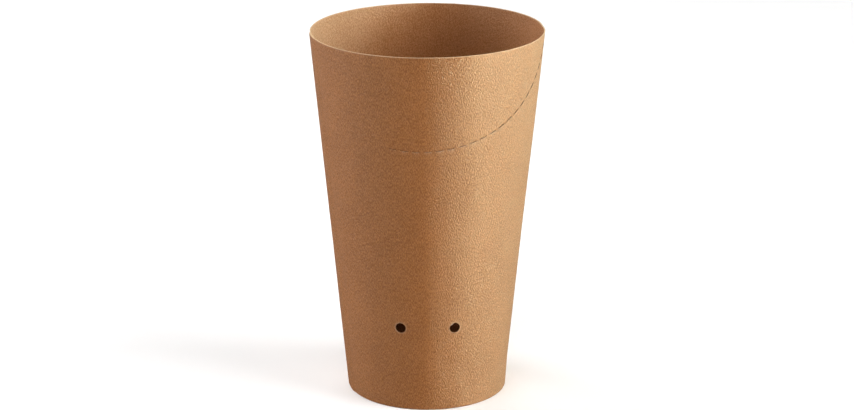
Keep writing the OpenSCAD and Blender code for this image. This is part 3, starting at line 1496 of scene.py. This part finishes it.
@dataclass
class LooseFibres:
    """Short fibres that stand out of the cut edges of the side sheet."""

    form: CupForm
    feel: HandFeel
    tear: TearLine
    seed: int = 5
    rim_count: int = 150
    tear_count: int = 40
    thickness: float = 0.016
    length: tuple[float, float] = (0.15, 0.55)
    tear_length: tuple[float, float] = (0.15, 0.35)
    curl: float = 1.6
    sides: int = 5
    steps: int = 5

    def starts(self) -> list[tuple[float, float, float]]:
        """Picks where the fibres stand.

        Returns:
            The turn in radians, the sheet coordinate and the length of each fibre.
        """
        chance = random.Random(self.seed)
        found = [(math.radians(-6.4), 0.0, 0.75), (math.radians(-7.3), 0.0, 0.5)]
        for _ in range(self.rim_count):
            found.append((chance.uniform(-math.pi, math.pi), 0.0, chance.uniform(*self.length)))
        cuts = self.tear.cuts()
        for _ in range(self.tear_count):
            p = chance.choice(cuts) + chance.uniform(-1.4, 1.4)
            turn, s = self.form.rolled(self.tear.flat(np.array([p]), np.array([-0.08])))
            found.append((float(turn[0]), float(s[0]), chance.uniform(*self.tear_length)))
        return found

    def build(self, finish: bpy.types.Material) -> bpy.types.Object:
        """Builds the fibres as one object of thin bent tubes.

        Args:
            finish: Material of the fibres.

        Returns:
            The object.
        """
        chance = random.Random(self.seed + 1)
        points: list[Array] = []
        faces: list[tuple[int, ...]] = []
        sides = self.sides
        steps = self.steps
        for turn, s, length in self.starts():
            z = self.form.height - s * math.cos(self.form.lean)
            dr, dz = self.feel.shift(np.array([turn]), np.array([z]), self.form)
            r = float(self.form.layer_r(z, chance.uniform(0.05, 0.3)) + dr[0])
            place = on_circle(r, turn, z + dz[0] - 0.02)
            around = np.array([math.cos(turn), math.sin(turn), 0.0])
            out = on_circle(1.0, turn, 0.0)
            rise = np.array([0.0, 0.0, 0.6 if s < 0.01 else 0.15])
            way = around * chance.uniform(-1.0, 1.0) + out * chance.uniform(-0.3, 0.6) + rise
            turn_way = around * chance.uniform(-1.0, 1.0) + out * chance.uniform(-0.5, 0.5)
            start = sum(len(p) for p in points)
            for i in range(steps + 1):
                t = i / steps
                heading = unit(way + turn_way * t * self.curl)
                side = unit(np.cross(heading, np.array([0.3, 0.2, 1.0])))
                other = np.cross(heading, side)
                radius = self.thickness * (1.0 - 0.7 * t)
                angles = np.arange(sides) * 2 * math.pi / sides
                circle = np.outer(np.cos(angles), side) + np.outer(np.sin(angles), other)
                points.append(place + radius * circle)
                place = place + heading * length / steps
            for i in range(steps):
                for k in range(sides):
                    a = start + i * sides + k
                    b = start + i * sides + (k + 1) % sides
                    faces.append((a, b, b + sides, a + sides))
            faces.append(tuple(start + k for k in range(sides))[::-1])
            faces.append(tuple(start + steps * sides + k for k in range(sides)))
        flat = np.concatenate(points)
        net = Net(flat, faces, np.zeros(len(faces)), flat[:, :2], np.zeros(len(flat)))
        piece = net.make("loose_fibres", [finish])
        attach(piece, "root")
        return piece


@dataclass(frozen=True)
class SoftLight:
    """A flat soft light: where it stands, its size and strength, and whether it gives glare and fill."""

    name: str
    turn: float
    rise: float
    distance: float
    size: tuple[float, float]
    watts: float
    glare: bool = True
    fill: bool = True
    color: Color = (1.0, 1.0, 1.0)

    def put(self, target: Vector) -> None:
        """Places the light so that it faces the target.

        Args:
            target: The point that the light faces, in metres.
        """
        data = bpy.data.lights.new(self.name, "AREA")
        data.shape = "RECTANGLE"
        data.size, data.size_y = self.size
        data.energy = self.watts
        data.color = self.color
        lamp = bpy.data.objects.new(self.name, data)
        lamp.visible_glossy = self.glare
        lamp.visible_diffuse = self.fill
        rise = math.radians(self.rise)
        away = Vector(on_circle(math.cos(rise), math.radians(self.turn), math.sin(rise)))
        lamp.location = target + away * self.distance
        lamp.rotation_euler = away.to_track_quat("Z", "Y").to_euler()
        bpy.context.scene.collection.objects.link(lamp)


@dataclass(frozen=True)
class Studio:
    """The pale floor, the soft lights and the camera."""

    form: CupForm
    lights: tuple[SoftLight, ...] = (
        SoftLight("key", 70.0, 20.0, 1.1, (0.85, 0.6), 15.5, glare=False),
        SoftLight("sheen", 100.0, 20.0, 1.1, (0.6, 0.6), 90.0, fill=False, color=(1.0, 0.96, 0.7)),
        SoftLight("left", -107.0, 20.0, 1.2, (0.9, 0.7), 14.0),
        SoftLight("front", -25.0, 55.0, 1.4, (1.0, 1.0), 9.5, glare=False),
        SoftLight("rear", 180.0, 35.0, 1.5, (1.2, 0.8), 8.0, glare=False),
    )
    sky: float = 0.0
    floor_half: float = 9.0
    floor_z: float = -0.05
    camera_rise: float = 17.6
    camera_distance: float = 905.1
    lens: float = 106.24
    shift_x: float = 0.0
    shift_y: float = 0.0045

    def build(self) -> None:
        """Builds the floor, the lights and the camera."""
        scene = bpy.context.scene
        half = self.floor_half
        z = self.floor_z * MM
        mesh = bpy.data.meshes.new("floor")
        corners = [(-half, -half, z), (half, -half, z), (half, half, z), (-half, half, z)]
        mesh.from_pydata(corners, [], [(0, 1, 2, 3)])
        mesh.materials.append(FloorFinish().build())
        floor = bpy.data.objects.new("floor", mesh)
        floor.visible_glossy = False
        scene.collection.objects.link(floor)
        target = Vector((0.0, 0.0, self.form.height / 2 * MM))
        for light in self.lights:
            light.put(target)
        world = bpy.data.worlds.new("studio")
        scene.world = world
        world.use_nodes = True
        backdrop = world.node_tree.nodes["Background"]
        backdrop.inputs["Color"].default_value = (1.0, 1.0, 1.0, 1.0)
        backdrop.inputs["Strength"].default_value = self.sky
        scene.view_settings.view_transform = "Standard"
        data = bpy.data.cameras.new("camera")
        data.lens = self.lens
        data.shift_x = self.shift_x
        data.shift_y = self.shift_y
        data.clip_start = 0.01
        camera = bpy.data.objects.new("camera", data)
        rise = math.radians(self.camera_rise)
        reach = self.camera_distance * MM
        camera.location = target + Vector((0.0, -reach * math.cos(rise), reach * math.sin(rise)))
        camera.rotation_euler = (math.pi / 2 - rise, 0.0, 0.0)
        scene.collection.objects.link(camera)
        scene.camera = camera


def main() -> None:
    """Builds the cup and its studio, and reports each piece."""
    logging.basicConfig(level=logging.INFO, format="%(name)s: %(message)s")
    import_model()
    form = CupForm.from_frame()
    feel = HandFeel()
    tear = TearLine(form)
    vents = VentHoles(form)
    outside = KraftFinish("kraft_outside").build()
    inner_light, inner_dark = (0.49, 0.217, 0.091), (0.328, 0.124, 0.037)
    inside = KraftFinish("kraft_inside", inner_light, inner_dark, gloss=0.4, grain_turn=4.0).build()
    pulp = Grain(1.6, 2.4, detail=4.0, rough=0.62, tone=1.3, lift=0.5)
    base_board = KraftFinish(
        "kraft_base", inner_light, inner_dark, gloss=0.4, mottle=pulp, grain_turn=35.0
    ).build()
    cut_edge = CutEdgeFinish().build()
    shred = CutEdgeFinish("kraft_shred", (0.5, 0.36, 0.25), (0.3, 0.2, 0.13), gloss=0.1).build()
    # Near-black finish for the walls of the vent holes and knife cuts: painted shade inside the openings,
    # not the colour of the cut board.
    punched = CutEdgeFinish(
        "kraft_cut_wall_painted_shade", (0.07, 0.036, 0.02), (0.03, 0.016, 0.01), gloss=0.05
    ).build()
    bark = FleckFinish("bark", (0.2, 0.095, 0.04), (0.09, 0.035, 0.015)).build()
    fibre = FleckFinish("fibre", (0.75, 0.56, 0.36), (0.55, 0.37, 0.2)).build()
    pieces = [
        SideSheet(form, feel, tear, vents).build([outside, inside, cut_edge, punched]),
        HangingChad(form, feel, vents).build(shred),
        PressedBase(form, feel).build(base_board),
        BarkFlecks(form, feel).build(bark),
        LooseFibres(form, feel, tear).build(fibre),
    ]
    Studio(form).build()
    for piece in pieces:
        mesh = piece.data
        LOG.info("%s has %d points and %d faces", piece.name, len(mesh.vertices), len(mesh.polygons))


if __name__ == "__main__":
    main()
